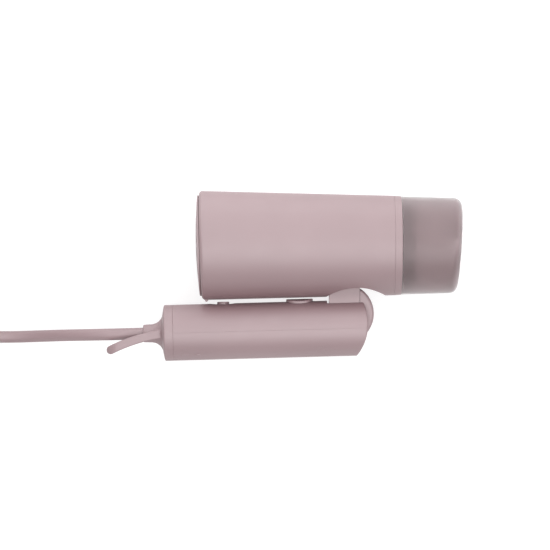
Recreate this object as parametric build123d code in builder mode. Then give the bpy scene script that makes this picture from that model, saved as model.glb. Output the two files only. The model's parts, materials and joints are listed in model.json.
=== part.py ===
from build123d import *
import os
from math import cos, radians, sin, sqrt, tan

# A folding travel hair dryer, lying on its side with the handle folded under the barrel.
# Millimetres. The barrel's axis runs along +X, towards the nozzle, and +Z is up from the table.
# The origin is on the table, under the barrel's axis, abreast of the hinge pin.

os.makedirs("parts", exist_ok=True)

# --- fits ---
fit_gap = 0.1           # between pieces of one body that slide together
running_gap = 0.05      # between a shaft and its bore
seam_gap = 0.2          # a seam that shows as a line
moving_gap = 0.3        # between pieces of different bodies

# --- barrel ---
barrel_rear_x = -87.2
barrel_front_x = 30.6
barrel_rear_radius = 33.3
barrel_front_radius = 30.35
shell_wall = 2.2
rear_corner_radius = 2.0
rear_lip_length = 2.5
rear_mouth_radius = 29.6
rear_lean = 1.65        # the rear end leans towards the handle by this many degrees
ring_length = 4.4
ring_front_radius = 30.05
ring_bore_radius = 26.4
ring_sleeve_length = 3.6

# --- outlet and heater ---
spigot_front_x = 41.0
spigot_wall = 2.1
spigot_flange_length = 1.0
grille_x = 34.0
grille_thickness = 2.0
shield_radius = 22.45
shield_wall = 0.55
shield_rear_x = -33.0
mica_radius = 18.0
mica_thickness = 0.8
mica_half_length = 22.0
mica_foot_length = 4.0
coil_wire_radius = 0.8
coil_ring_count = 6
coil_pitch = 5.6
thermostat_x = -10.0
thermostat_size = (9.0, 3.0, 7.0)
thermostat_drop = 7.5   # below the barrel's axis
fuse_x = 8.0
fuse_radius = 1.7
fuse_length = 11.0
fuse_rise = 7.0         # above the barrel's axis

# --- fan and motor ---
duct_rear_x = -74.0
duct_radius = 28.6
duct_wall = 1.4
cone_start_x = -46.0
flange_length = 2.0
vane_count = 7
vane_thickness = 1.2
vane_length = 10.0
motor_radius = 12.2
motor_rear_x = -55.9
motor_length = 20.0
hub_wall = 1.5
shaft_radius = 1.0
shaft_length = 17.0
impeller_x = -64.0
impeller_length = 10.0
impeller_hub_radius = 9.0
impeller_tip_gap = 0.6
blade_count = 9
blade_thickness = 1.2
blade_chord = 12.0
blade_pitch = 38.0
guard_x = -79.5
guard_thickness = 2.0
board_thickness = 1.6
motor_board_radius = 11.0
diode_count = 4

# --- rear cover ---
cover_radius = 30.7
cover_rim_thickness = 0.8
cover_dome = 1.6
cover_wall = 1.5
cover_gap = 0.4
cover_skirt_length = 6.3
cover_skirt_wall = 1.4
tab_width = 7.0
tab_reach = 34.4
filter_thickness = 0.5
filter_u = 0.8          # places in the cover are measured from the barrel's rear end
tab_front_u = 3.9
tab_rear_u = 0.9
tab_step = 2.4
tab_front_chamfer = 0.9
tab_rear_chamfer = 1.3
notch_length = 4.3
slot_ring_radii = (8.0, 12.0, 16.0, 20.0, 24.0)
slot_width = 2.2
slot_spoke_width = 2.4
slot_spoke_count = 6

# --- nozzle ---
nozzle_front_x = 69.8
nozzle_rear_radius = 29.9
nozzle_front_radius = 28.95
nozzle_wall = 2.0
nozzle_apex_x = 72.4
nozzle_apex_y = 12.6    # the front's foremost point lies this far from the axis, away from the handle
nozzle_dome_radius = 220.0
nozzle_corner_radius = 5.0
mouth_length = 44.0
mouth_width = 8.0
collar_length = 7.7
collar_thickness = 1.35

# --- hinge ---
pin_radius = 2.5
pin_half_length = 12.4
recess_radius = 34.6
recess_center_x = 8.2
recess_center_drop = 18.9
neck_rear_x = -8.9
neck_front_x = 9.7
neck_half_width = 7.0
neck_end_radius = 9.6
nose_radius = 18.3
nose_end_angle = 45.0
nose_rim_radius = 1.6
seam_pocket = 1.3
seam_pocket_depth = 5.0
washer_radius = 5.3
washer_thickness = 1.2
washer_depth = 1.0
hinge_screw_radius = 1.2
hinge_screw_head = 2.2
hinge_screw_length = 8.0
hinge_screw_x = 4.0
hinge_screw_half_spacing = 4.2

# --- handle, measured along its own axis u from abreast of the pin, and out from that axis ---
handle_lean = 1.56
handle_drop = 8.9       # handle's axis below the pin
handle_radius = 17.05
handle_clearance = 0.05     # between the handle and the barrel's rear radius, abreast of the pin
pin_drop = round(barrel_rear_radius + handle_clearance + handle_radius - handle_drop, 6)
handle_wall = 2.0
handle_end_radius = 33.0
handle_end_center_u = -18.66
handle_end_center_v = 3.4
tail_seam_u = -103.8        # the places behind the shells follow this one
tail_corner_u = tail_seam_u - 5.0
tail_face_u = tail_corner_u - 1.8
handle_corner = 0.9
part_line_chamfer = 0.06
slot_half_width = 7.3
slot_rear_u = -9.9
upper_block_u = -17.0
lower_block_u = -19.5
screw_head_radius = 2.4
screw_radius = 1.2
screw_half_spacing = handle_radius - handle_wall - 4.55
screw_front_u = -14.8
screw_rear_u = tail_seam_u + 7.3
screw_boss_radius = 3.4
screw_head_depth = 7.4
screw_head_height = 1.5
screw_tip_v = 7.0

# --- controls ---
switch_u = -26.65
switch_length = 16.3
switch_width = 13.0
switch_height = 1.5
switch_travel = 5.0
switch_stem = 5.0
button_u = -73.2
button_radius = 3.7
button_top = handle_radius + 1.0
button_travel = 1.0
button_flange = 0.9
button_bottom = button_top - 5.65
dish_length = 15.5
dish_depth = 0.8
board_top = -4.4
board_front_u = -21.0
board_rear_u = tail_seam_u + 19.8
board_width = 2 * (handle_radius - handle_wall - 3.05)
post_radius = 2.0
post_half_spacing = 9.0
switch_body_top = handle_radius - 8.55
tact_body_top = button_bottom - 4.4
tact_size = 6.0

# --- tail ---
cord_radius = 3.6
relief_neck_radius = 4.5
relief_flange_radius = 5.3
relief_flare_radius = 10.6
relief_end_radius = 5.35
relief_step_u = tail_face_u - 7.4
relief_step_radius = 5.55
relief_flare_mid = (tail_face_u - 2.0, 7.5)
relief_end_u = tail_face_u - 11.8
relief_flange_u = tail_face_u + 5.1
relief_neck_u = relief_flange_u - 2.1
cap_spigot_length = 3.0
cap_spigot_wall = 2.0
cord_end_u = tail_seam_u + 18.8
clamp_u = cord_end_u - 4.0
clamp_length = 6.0
clamp_width = 22.0
clamp_height = 6.0
clamp_screw_half_spacing = 8.0
clamp_screw_radius = 1.1
wire_radius = 0.9
wire_length = 6.0
loop_height = 5.2
loop_half_width = 8.4
loop_thickness = 2.8
loop_tip_u = tail_face_u - 34.4
loop_outer_tip_u = loop_tip_u - 0.6
loop_inner_tip_u = loop_tip_u + loop_thickness
loop_inner_half = loop_half_width - loop_thickness
loop_root_u = tail_face_u + 10.6
loop_blank_run = 40.0
loop_lug = 2.0
loop_lug_length = 2.4
# The middle of the loop's band in side view, from its lugs to its tip, as (u, v).
loop_route = (
    (tail_face_u + 5.0, -0.2),
    (tail_face_u - 1.7, -0.55),
    (tail_face_u - 11.1, -2.2),
    (tail_face_u - 23.4, -5.9),
    (loop_tip_u + 2.6, -9.4),
)

# --- cord, coil and plug ---
first_run = 24.0
coil_x = -267.5
coil_entry_y = -56.4
coil_bottom = 0.6
coil_layers = 2
coil_turns_across = 3
inner_turn_radius = 33.0
turn_pitch = 7.3
turn_ease = 0.2         # room left round the turns
crossing_depth = 3.2    # the innermost turn gives way by this much where it climbs
riser_radius = 36.0
stub_length = 51.0
stub_start = 15.0
tie_angle = 135.0
tie_arc = 11.0
tie_wall = 0.55
tie_slack = 0.05
plug_width = 35.4
plug_thickness = 17.0
plug_length = 24.0
plug_corner = 7.0
boot_length = 13.0
boot_radius = 8.0
boot_tip_radius = 5.2
plug_pin_radius = 2.4
plug_pin_length = 19.0
plug_pin_spacing = 19.0

# --- planes and places worked out from the sizes ---
axis_height = barrel_rear_radius
side_plane = Plane.XY.offset(axis_height)
barrel_axis = Axis((0, 0, axis_height), (1, 0, 0))
cover_plane = Plane(
    origin=(barrel_rear_x, 0, axis_height),
    x_dir=(cos(radians(rear_lean)), sin(radians(rear_lean)), 0),
    z_dir=(0, 0, 1),
)
cover_axis = Axis(cover_plane.origin, cover_plane.x_dir)
lean = radians(handle_lean)
handle_plane = Plane(
    origin=(handle_drop * sin(lean), -pin_drop - handle_drop * cos(lean), axis_height),
    x_dir=(cos(lean), sin(lean), 0),
    z_dir=(0, 0, 1),
)
handle_axis = Axis(handle_plane.origin, handle_plane.x_dir)
plan_plane = Plane(origin=handle_plane.origin, x_dir=handle_plane.x_dir, z_dir=-handle_plane.y_dir)
recess_center = (recess_center_x, -pin_drop - recess_center_drop)
pin_center = (0, -pin_drop)


def barrel_radius(x):
    """Outer radius of the barrel's cone at x."""
    taper = (barrel_front_radius - barrel_rear_radius) / (barrel_front_x - barrel_rear_x)
    return barrel_rear_radius + taper * (x - barrel_rear_x)


def barrel_bore(x):
    """Inner radius of the barrel shell at x."""
    return barrel_radius(x) - shell_wall


def cross_plane(x, plane=side_plane):
    """Plane across the barrel at x, with its own x away from the handle and its y along +Z."""
    return Plane(origin=plane.from_local_coords((x, 0, 0)), x_dir=plane.y_dir, z_dir=plane.x_dir)


def turned(points, plane=side_plane, axis=barrel_axis):
    """A solid of revolution from a straight-sided outline."""
    with BuildPart() as body:
        with BuildSketch(plane):
            with BuildLine():
                Polyline(*points, close=True)
            make_face()
        revolve(axis=axis)
    return body.part


def tube(rear_x, front_x, inner_radius, outer_radius, plane=side_plane, axis=barrel_axis):
    """A straight tube about an axis."""
    rear_edge = [(rear_x, inner_radius), (rear_x, outer_radius)]
    front_edge = [(front_x, outer_radius), (front_x, inner_radius)]
    return turned(rear_edge + front_edge, plane, axis)


def save(part, name):
    """Label a finished piece and write it as a STEP file."""
    part.label = name
    export_step(part, f"parts/{name}.step")


# ---------------------------------------------------------------- barrel body

# The room inside the barrel, with the saddle's wall left standing in it.
with BuildPart() as barrel_room:
    lip_x = barrel_rear_x + rear_lip_length
    blank_rear_x = barrel_rear_x - 2
    with BuildSketch(side_plane):
        with BuildLine():
            Polyline(
                (blank_rear_x - 1, 0),
                (blank_rear_x - 1, rear_mouth_radius),
                (lip_x, rear_mouth_radius),
                (lip_x, barrel_bore(lip_x)),
                (barrel_front_x + 1, barrel_bore(barrel_front_x + 1)),
                (barrel_front_x + 1, 0),
                close=True,
            )
        make_face()
    revolve(axis=barrel_axis)
    with BuildSketch(Plane.XY):
        with Locations(recess_center):
            Circle(recess_radius + shell_wall)
    extrude(amount=2 * axis_height, mode=Mode.SUBTRACT)

with BuildPart() as barrel_shell:
    with BuildSketch(side_plane):
        with BuildLine():
            Polyline(
                (blank_rear_x, 0),
                (blank_rear_x, barrel_radius(blank_rear_x)),
                (barrel_front_x, barrel_front_radius),
                (barrel_front_x, 0),
                close=True,
            )
        make_face()
    revolve(axis=barrel_axis)
    split(bisect_by=cross_plane(0, cover_plane), keep=Keep.TOP)
    rear_face = barrel_shell.faces().sort_by(Axis.X)[0]
    fillet(rear_face.edges(), rear_corner_radius)
    add(barrel_room.part, mode=Mode.SUBTRACT)
    with BuildSketch(Plane.XY):
        with Locations(recess_center):
            Circle(recess_radius)
    extrude(amount=2 * axis_height, mode=Mode.SUBTRACT)
    # Notch that the cover's finger tab slides out of.
    with BuildSketch(cover_plane):
        with Locations(((notch_length - 2) / 2, -barrel_rear_radius)):
            Rectangle(notch_length + 2, 2 * (barrel_rear_radius - rear_mouth_radius) + 4)
    extrude(amount=tab_width / 2 + moving_gap, both=True, mode=Mode.SUBTRACT)
    # Countersunk seats of the hinge screws in the saddle's wall.
    screw_seat_y = recess_center[1] + sqrt(recess_radius**2 - (hinge_screw_x - recess_center_x) ** 2)
    with Locations(
        (hinge_screw_x, screw_seat_y, axis_height - hinge_screw_half_spacing),
        (hinge_screw_x, screw_seat_y, axis_height + hinge_screw_half_spacing),
    ):
        Cylinder(hinge_screw_radius + running_gap, 12, rotation=(90, 0, 0), mode=Mode.SUBTRACT)
    with Locations(
        (hinge_screw_x, screw_seat_y + 1.0 + 2, axis_height - hinge_screw_half_spacing),
        (hinge_screw_x, screw_seat_y + 1.0 + 2, axis_height + hinge_screw_half_spacing),
    ):
        Cylinder(hinge_screw_head + running_gap, 4, rotation=(90, 0, 0), mode=Mode.SUBTRACT)
save(barrel_shell.part, "barrel_shell")

ring_front_x = barrel_front_x + ring_length
front_ring = turned(
    [
        (barrel_front_x - ring_sleeve_length, ring_bore_radius),
        (barrel_front_x - ring_sleeve_length, barrel_bore(barrel_front_x) - fit_gap),
        (barrel_front_x, barrel_bore(barrel_front_x) - fit_gap),
        (barrel_front_x, barrel_front_radius - 0.15),
        (barrel_front_x + 0.15, barrel_front_radius),
        (ring_front_x - 0.2, ring_front_radius),
        (ring_front_x, ring_front_radius - 0.2),
        (ring_front_x, ring_bore_radius),
    ]
)
save(front_ring, "front_ring")

spigot_radius = ring_bore_radius - fit_gap
spigot_bore = spigot_radius - spigot_wall
flange_front_x = barrel_front_x - ring_sleeve_length
flange_rear_x = flange_front_x - spigot_flange_length
outlet_spigot = turned(
    [
        (flange_rear_x, shield_radius + running_gap),
        (flange_rear_x, barrel_bore(flange_front_x) - fit_gap),
        (flange_front_x, barrel_bore(flange_front_x) - fit_gap),
        (flange_front_x, spigot_radius),
        (spigot_front_x - 0.5, spigot_radius),
        (spigot_front_x, spigot_radius - 0.5),
        (spigot_front_x, spigot_bore),
        (flange_front_x + 1, spigot_bore),
        (flange_front_x + 1, shield_radius + running_gap),
    ]
)
save(outlet_spigot, "outlet_spigot")


def spoked_disc(x, thickness, radius, hub_radius, bar, gap, spoke_count, spoke_width):
    """A flat round grille: a hub, rings spaced a gap apart, and straight spokes."""
    with BuildPart() as disc:
        with BuildSketch(cross_plane(x)):
            Circle(radius)
            Circle(radius - bar, mode=Mode.SUBTRACT)
            ring_bores = []
            ring_bore = hub_radius + gap
            while ring_bore + bar < radius - bar - gap / 2:
                ring_bores.append(ring_bore)
                ring_bore = ring_bore + bar + gap
            for ring_bore in reversed(ring_bores):
                Circle(ring_bore + bar)
                Circle(ring_bore, mode=Mode.SUBTRACT)
            Circle(hub_radius)
            with PolarLocations(radius / 2, spoke_count):
                Rectangle(radius - bar / 2, spoke_width)
        extrude(amount=thickness)
    return disc.part


grille_radius = spigot_bore - fit_gap
outlet_grille = spoked_disc(grille_x, grille_thickness, grille_radius, 4.0, 1.6, 3.4, 6, 1.5)
save(outlet_grille, "outlet_grille")

heat_shield = tube(shield_rear_x, flange_front_x + 1, shield_radius - shield_wall, shield_radius)
save(heat_shield, "heat_shield")

with BuildPart() as mica_cross:
    foot_radius = shield_radius - shield_wall - running_gap
    foot_x = mica_half_length - mica_foot_length
    for blade_plane in (side_plane, Plane(origin=(0, 0, axis_height), x_dir=(1, 0, 0), z_dir=(0, -1, 0))):
        with BuildSketch(blade_plane):
            Rectangle(2 * mica_half_length, 2 * mica_radius)
            with Locations((-foot_x - mica_foot_length / 2, 0), (foot_x + mica_foot_length / 2, 0)):
                Rectangle(mica_foot_length, 2 * foot_radius)
        extrude(amount=mica_thickness / 2, both=True)
save(mica_cross.part, "mica_cross")

with BuildPart() as heater_coils:
    coil_center_radius = mica_radius + coil_wire_radius + running_gap
    first_coil_x = -coil_pitch * (coil_ring_count - 1) / 2
    for index in range(coil_ring_count):
        with BuildSketch(side_plane):
            with Locations((first_coil_x + index * coil_pitch, coil_center_radius)):
                Circle(coil_wire_radius)
        revolve(axis=barrel_axis)
save(heater_coils.part, "heater_coils")

# Both safety cut-outs sit flat against the upright mica blade, on the handle's side.
with BuildPart() as thermostat:
    thermostat_y = -mica_thickness / 2 - thermostat_size[1] / 2
    with Locations((thermostat_x, thermostat_y, axis_height - thermostat_drop)):
        Box(*thermostat_size)
save(thermostat.part, "thermostat")

with BuildPart() as thermal_fuse:
    with Locations((fuse_x, -mica_thickness / 2 - fuse_radius, axis_height + fuse_rise)):
        Cylinder(fuse_radius, fuse_length, rotation=(0, 90, 0))
save(thermal_fuse.part, "thermal_fuse")

duct_bore = duct_radius - duct_wall
socket_front_x = shield_rear_x + 4
hub_radius = motor_radius + running_gap + hub_wall
with BuildPart() as fan_duct:
    duct_shell = turned(
        [
            (duct_rear_x, duct_bore),
            (duct_rear_x, barrel_bore(duct_rear_x + flange_length) - fit_gap),
            (duct_rear_x + flange_length, barrel_bore(duct_rear_x + flange_length) - fit_gap),
            (duct_rear_x + flange_length, duct_radius),
            (cone_start_x, duct_radius),
            (shield_rear_x, shield_radius + 0.8),
            (socket_front_x, shield_radius + 0.8),
            (socket_front_x, shield_radius + running_gap),
            (shield_rear_x, shield_radius + running_gap),
            (shield_rear_x, shield_radius - shield_wall),
            (shield_rear_x - 1, shield_radius - shield_wall),
            (cone_start_x, duct_bore),
        ]
    )
    add(duct_shell)
    motor_cup = turned(
        [
            (motor_rear_x - hub_wall, 3.0),
            (motor_rear_x - hub_wall, hub_radius),
            (motor_rear_x + motor_length - 2, hub_radius),
            (motor_rear_x + motor_length - 2, motor_radius + running_gap),
            (motor_rear_x, motor_radius + running_gap),
            (motor_rear_x, 3.0),
        ]
    )
    add(motor_cup)
    vane_span = duct_bore + 0.4 - (hub_radius - 0.6)
    with BuildSketch(cross_plane(cone_start_x - vane_length)):
        with PolarLocations(hub_radius - 0.6 + vane_span / 2, vane_count):
            Rectangle(vane_span, vane_thickness)
    extrude(amount=vane_length)
save(fan_duct.part, "fan_duct")

motor_front_x = motor_rear_x + motor_length
motor_can = turned(
    [
        (motor_rear_x - 1.2, shaft_radius + running_gap),
        (motor_rear_x - 1.2, 2.9),
        (motor_rear_x, 2.9),
        (motor_rear_x, motor_radius - 0.8),
        (motor_rear_x + 0.8, motor_radius),
        (motor_front_x - 0.8, motor_radius),
        (motor_front_x, motor_radius - 0.8),
        (motor_front_x, 4.0),
        (motor_front_x + 1.5, 4.0),
        (motor_front_x + 1.5, 0),
        (motor_rear_x + 5, 0),
        (motor_rear_x + 5, shaft_radius + running_gap),
    ]
)
save(motor_can, "motor_can")

motor_board_x = motor_front_x + 1.5
with BuildPart() as motor_board:
    with BuildSketch(cross_plane(motor_board_x)):
        Circle(motor_board_radius)
    extrude(amount=board_thickness)
save(motor_board.part, "motor_board")

with BuildPart() as diodes:
    with BuildSketch(cross_plane(motor_board_x + board_thickness)):
        with PolarLocations(7, diode_count, start_angle=45):
            Circle(1.35)
    extrude(amount=4.2)
save(diodes.part, "rectifier_diodes")

inlet_guard = spoked_disc(
    guard_x, guard_thickness, barrel_bore(guard_x + guard_thickness) - fit_gap, 6.0, 1.6, 3.6, 6, 1.8
)
save(inlet_guard, "inlet_guard")

# Neck: a block from the saddle down round the pin. Nose: the outer part of the hinge's disc.
hinge_base = Plane.XY.offset(axis_height - neck_half_width)
with BuildPart() as hinge_neck:
    with BuildSketch(hinge_base):
        with Locations((0, -pin_drop + 15)):
            Rectangle(40, 30)
        with Locations(pin_center):
            Circle(neck_end_radius)
        with Locations(((neck_rear_x + neck_front_x) / 2, -pin_drop)):
            Rectangle(neck_front_x - neck_rear_x, 60, mode=Mode.INTERSECT)
        with Locations(recess_center):
            Circle(recess_radius, mode=Mode.INTERSECT)
    extrude(amount=2 * neck_half_width)
    for side in (-1, 1):
        with Locations((0, -pin_drop, axis_height + side * (neck_half_width - washer_depth / 2))):
            Cylinder(washer_radius + 0.2, washer_depth, mode=Mode.SUBTRACT)
    with Locations((0, -pin_drop, axis_height)):
        Cylinder(pin_radius + running_gap, 3 * neck_half_width, mode=Mode.SUBTRACT)
    with Locations(
        (hinge_screw_x, screw_seat_y, axis_height - hinge_screw_half_spacing),
        (hinge_screw_x, screw_seat_y, axis_height + hinge_screw_half_spacing),
    ):
        Cylinder(
            hinge_screw_radius + 0.02,
            2 * hinge_screw_length - 2,
            rotation=(90, 0, 0),
            mode=Mode.SUBTRACT,
        )
save(hinge_neck.part, "hinge_neck")

with BuildPart() as hinge_nose:
    nose_cut = radians(nose_end_angle)
    with BuildSketch(hinge_base):
        with Locations(pin_center):
            Circle(nose_radius)
        with Locations((neck_front_x + seam_gap + 15, -pin_drop)):
            Rectangle(30, 60, mode=Mode.INTERSECT)
        with Locations(recess_center):
            Circle(recess_radius, mode=Mode.INTERSECT)
        with BuildLine():
            Polyline(
                (0, -pin_drop),
                (40 * cos(nose_cut), -pin_drop - 40 * sin(nose_cut)),
                (0, -pin_drop - 60),
                close=True,
            )
        make_face(mode=Mode.SUBTRACT)
    extrude(amount=2 * neck_half_width)
    nose_rims = hinge_nose.edges().filter_by(GeomType.CIRCLE).filter_by(
        lambda edge: abs(edge.radius - nose_radius) < 0.01
    )
    fillet(nose_rims, nose_rim_radius)
    # Small pockets at the top of the seam, one on each side.
    pocket_x = neck_front_x + seam_gap + seam_pocket / 2
    pocket_top = recess_center[1] + sqrt(recess_radius**2 - (pocket_x - recess_center_x) ** 2)
    for side in (-1, 1):
        pocket_z = axis_height + side * (neck_half_width - seam_pocket_depth / 2)
        with Locations((pocket_x, pocket_top - seam_pocket / 2, pocket_z)):
            Box(seam_pocket, seam_pocket + 0.6, seam_pocket_depth, mode=Mode.SUBTRACT)
save(hinge_nose.part, "hinge_nose")

with BuildPart() as hinge_screws:
    for side in (-1, 1):
        screw_z = axis_height + side * hinge_screw_half_spacing
        with Locations((hinge_screw_x, screw_seat_y + 1.0 + 0.6, screw_z)):
            Cylinder(hinge_screw_head, 1.2, rotation=(90, 0, 0))
        with Locations((hinge_screw_x, screw_seat_y + 1.0 - hinge_screw_length / 2, screw_z)):
            Cylinder(hinge_screw_radius, hinge_screw_length, rotation=(90, 0, 0))
save(hinge_screws.part, "hinge_screws")

# ---------------------------------------------------------------- rotor

impeller_tip = duct_bore - impeller_tip_gap
with BuildPart() as impeller:
    with BuildSketch(side_plane):
        with BuildLine():
            Polyline(
                (impeller_x - impeller_length / 2, shaft_radius + 0.01),
                (impeller_x - impeller_length / 2, impeller_hub_radius - 3),
                (impeller_x - impeller_length / 2 + 3, impeller_hub_radius),
                (impeller_x + impeller_length / 2, impeller_hub_radius),
                (impeller_x + impeller_length / 2, shaft_radius + 0.01),
                close=True,
            )
        make_face()
    revolve(axis=barrel_axis)
    blade_span = impeller_tip - impeller_hub_radius + 2
    for index in range(blade_count):
        turn = 360 / blade_count * index
        blade_plane = Plane(
            origin=(impeller_x, 0, axis_height),
            x_dir=(0, cos(radians(turn)), sin(radians(turn))),
            z_dir=(1, 0, 0),
        )
        blade = (
            blade_plane
            * Pos(impeller_hub_radius - 0.8 + blade_span / 2, 0, 0)
            * Rot(blade_pitch, 0, 0)
            * Box(blade_span, blade_thickness, blade_chord, mode=Mode.PRIVATE)
        )
        add(blade)
    with BuildSketch(cross_plane(impeller_x - 15)):
        Circle(impeller_tip)
    extrude(amount=30, mode=Mode.INTERSECT)
save(impeller.part, "impeller")

shaft_rear_x = impeller_x - impeller_length / 2 + 1
motor_shaft = tube(shaft_rear_x, shaft_rear_x + shaft_length, 0, shaft_radius)
save(motor_shaft, "motor_shaft")

# ---------------------------------------------------------------- rear cover

cover_rim_u = -cover_gap
cover_edge_u = cover_rim_u - cover_rim_thickness
cover_apex_u = cover_edge_u - cover_dome
skirt_radius = rear_mouth_radius - fit_gap
skirt_bore = skirt_radius - cover_skirt_wall
skirt_front_u = cover_rim_u + cover_skirt_length
dome_radius = (cover_radius**2 + cover_dome**2) / (2 * cover_dome)


def dome_rise(radius):
    """How far the cover's dome falls back from its apex at a radius."""
    return dome_radius - sqrt(dome_radius**2 - radius**2)


with BuildPart() as rear_cover:
    inner_apex_u = cover_apex_u + cover_wall
    inner_edge_u = inner_apex_u + dome_rise(skirt_bore)
    with BuildSketch(cover_plane):
        with BuildLine():
            ThreePointArc(
                (cover_apex_u, 0),
                (cover_apex_u + dome_rise(cover_radius / 2), cover_radius / 2),
                (cover_edge_u, cover_radius),
            )
            Polyline(
                (cover_edge_u, cover_radius),
                (cover_rim_u, cover_radius),
                (cover_rim_u, skirt_radius),
                (skirt_front_u, skirt_radius),
                (skirt_front_u, skirt_bore),
                (inner_edge_u, skirt_bore),
            )
            ThreePointArc(
                (inner_edge_u, skirt_bore),
                (inner_apex_u + dome_rise(skirt_bore / 2), skirt_bore / 2),
                (inner_apex_u, 0),
            )
            Line((inner_apex_u, 0), (cover_apex_u, 0))
        make_face()
    revolve(axis=cover_axis)
    # Air slots: rings of slots between six spokes.
    for ring_radius in slot_ring_radii:
        with BuildSketch(cross_plane(cover_apex_u - 1, cover_plane)):
            Circle(ring_radius + slot_width / 2)
            Circle(ring_radius - slot_width / 2, mode=Mode.SUBTRACT)
            with PolarLocations(cover_radius / 2, slot_spoke_count, start_angle=30):
                Rectangle(cover_radius, slot_spoke_width, mode=Mode.SUBTRACT)
        extrude(amount=4, mode=Mode.SUBTRACT)
    # Finger tab at the edge that faces the handle.
    with BuildSketch(cover_plane):
        with BuildLine():
            Polyline(
                (cover_rim_u - 0.3, -skirt_bore - 0.3),
                (tab_front_u, -skirt_bore - 0.3),
                (tab_front_u, -tab_reach + tab_front_chamfer),
                (tab_front_u - tab_front_chamfer, -tab_reach),
                (tab_rear_u + tab_rear_chamfer, -tab_reach),
                (tab_rear_u, -tab_reach + tab_step),
                (cover_rim_u - 0.3, -cover_radius + 0.2),
                close=True,
            )
        make_face()
    extrude(amount=tab_width / 2, both=True)
save(rear_cover.part, "rear_cover")

with BuildPart() as filter_mesh:
    with BuildSketch(cross_plane(filter_u, cover_plane)):
        Circle(skirt_bore - running_gap)
    extrude(amount=filter_thickness)
save(filter_mesh.part, "filter_mesh")

# ---------------------------------------------------------------- nozzle

nozzle_rear_x = ring_front_x + moving_gap
collar_bore = spigot_radius + fit_gap
collar_radius = collar_bore + collar_thickness
nozzle_collar = tube(nozzle_rear_x, nozzle_rear_x + collar_length, collar_bore, collar_radius)
save(nozzle_collar, "nozzle_collar")

nozzle_bore = collar_radius + fit_gap
seat_end_x = nozzle_rear_x + collar_length + 0.3
blank_front_x = nozzle_apex_x + 2


def nozzle_radius(x):
    """Outer radius of the nozzle's cone at x."""
    taper = (nozzle_front_radius - nozzle_rear_radius) / (nozzle_front_x - nozzle_rear_x)
    return nozzle_rear_radius + taper * (x - nozzle_rear_x)


def domed(outline, inset):
    """A turned body whose front end is cut to the nozzle's dome, with its rim rounded."""
    with BuildPart() as body:
        add(turned(outline))
        with Locations((nozzle_apex_x - nozzle_dome_radius, nozzle_apex_y, axis_height)):
            Sphere(nozzle_dome_radius - inset, rotation=(0, 0, 180), mode=Mode.INTERSECT)
        rim = body.edges().filter_by(lambda edge: edge.bounding_box().min.X > seat_end_x + 1)
        fillet(rim, nozzle_corner_radius - inset)
    return body.part


nozzle_blank = domed(
    [
        (nozzle_rear_x, 0),
        (nozzle_rear_x, nozzle_rear_radius),
        (blank_front_x, nozzle_radius(blank_front_x)),
        (blank_front_x, 0),
    ],
    0,
)
nozzle_room = domed(
    [
        (nozzle_rear_x - 1, 0),
        (nozzle_rear_x - 1, nozzle_bore),
        (seat_end_x, nozzle_bore),
        (seat_end_x, nozzle_bore - 0.4),
        (blank_front_x, nozzle_radius(blank_front_x) - nozzle_wall),
        (blank_front_x, 0),
    ],
    nozzle_wall,
)
with BuildPart() as nozzle_shell:
    add(nozzle_blank)
    add(nozzle_room, mode=Mode.SUBTRACT)
    with BuildSketch(cross_plane(nozzle_front_x - 10)):
        SlotOverall(mouth_length, mouth_width, rotation=90)
    extrude(amount=20, mode=Mode.SUBTRACT)
save(nozzle_shell.part, "nozzle_shell")

# ---------------------------------------------------------------- handle

handle_bore = handle_radius - handle_wall


def handle_box(rear_u, front_u, low_v, high_v, half_width):
    """A box in the handle's frame, centred across its width."""
    with BuildPart(handle_plane) as block:
        with Locations(((rear_u + front_u) / 2, (low_v + high_v) / 2, 0)):
            Box(front_u - rear_u, high_v - low_v, 2 * half_width)
    return block.part


def screw_places(offset_v):
    """Where the four shell screws stand, at one height."""
    places = []
    for screw_u in (screw_front_u, screw_rear_u):
        for side in (-1, 1):
            places.append((screw_u, offset_v, side * screw_half_spacing))
    return places


with BuildPart(handle_plane) as handle_blank:
    with Locations(((tail_seam_u + 20) / 2, 0, 0)):
        Cylinder(handle_radius, 20 - tail_seam_u, rotation=(0, 90, 0))
    with BuildSketch(handle_plane):
        with Locations((handle_end_center_u, handle_end_center_v)):
            Circle(handle_end_radius)
        with Locations(((tail_seam_u + handle_end_center_u) / 2 - 5, 0)):
            Rectangle(handle_end_center_u - tail_seam_u + 10, 3 * handle_radius)
    extrude(amount=1.5 * handle_radius, both=True, mode=Mode.INTERSECT)
    end_edges = handle_blank.edges().filter_by(lambda edge: edge.center().X > 0)
    fillet(end_edges, handle_corner)

with BuildPart(handle_plane) as handle_room:
    with Locations(((tail_seam_u - 2 + upper_block_u) / 2, 0, 0)):
        Cylinder(handle_bore, upper_block_u - tail_seam_u + 2, rotation=(0, 90, 0))
    # A thicker end wall in the front half, and round bosses for the two rear screws.
    with Locations((lower_block_u, -handle_radius, 0)):
        Box(
            upper_block_u - lower_block_u + 1,
            handle_radius,
            2 * handle_radius,
            align=(Align.MIN, Align.MIN, Align.CENTER),
            mode=Mode.SUBTRACT,
        )
    with Locations(*screw_places(0)[2:]):
        Cylinder(screw_boss_radius, 3 * handle_radius, rotation=(90, 0, 0), mode=Mode.SUBTRACT)

parting_plane = Plane(origin=handle_plane.origin, z_dir=handle_plane.y_dir)


def along_handle(rear_u, front_u, radius):
    """A round bar on the handle's axis."""
    return tube(rear_u, front_u, 0, radius, handle_plane, handle_axis)


def handle_radius_of(point):
    """Distance of a point from the handle's axis."""
    local = handle_plane.to_local_coords(point)
    return sqrt(local.Y**2 + local.Z**2)


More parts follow.
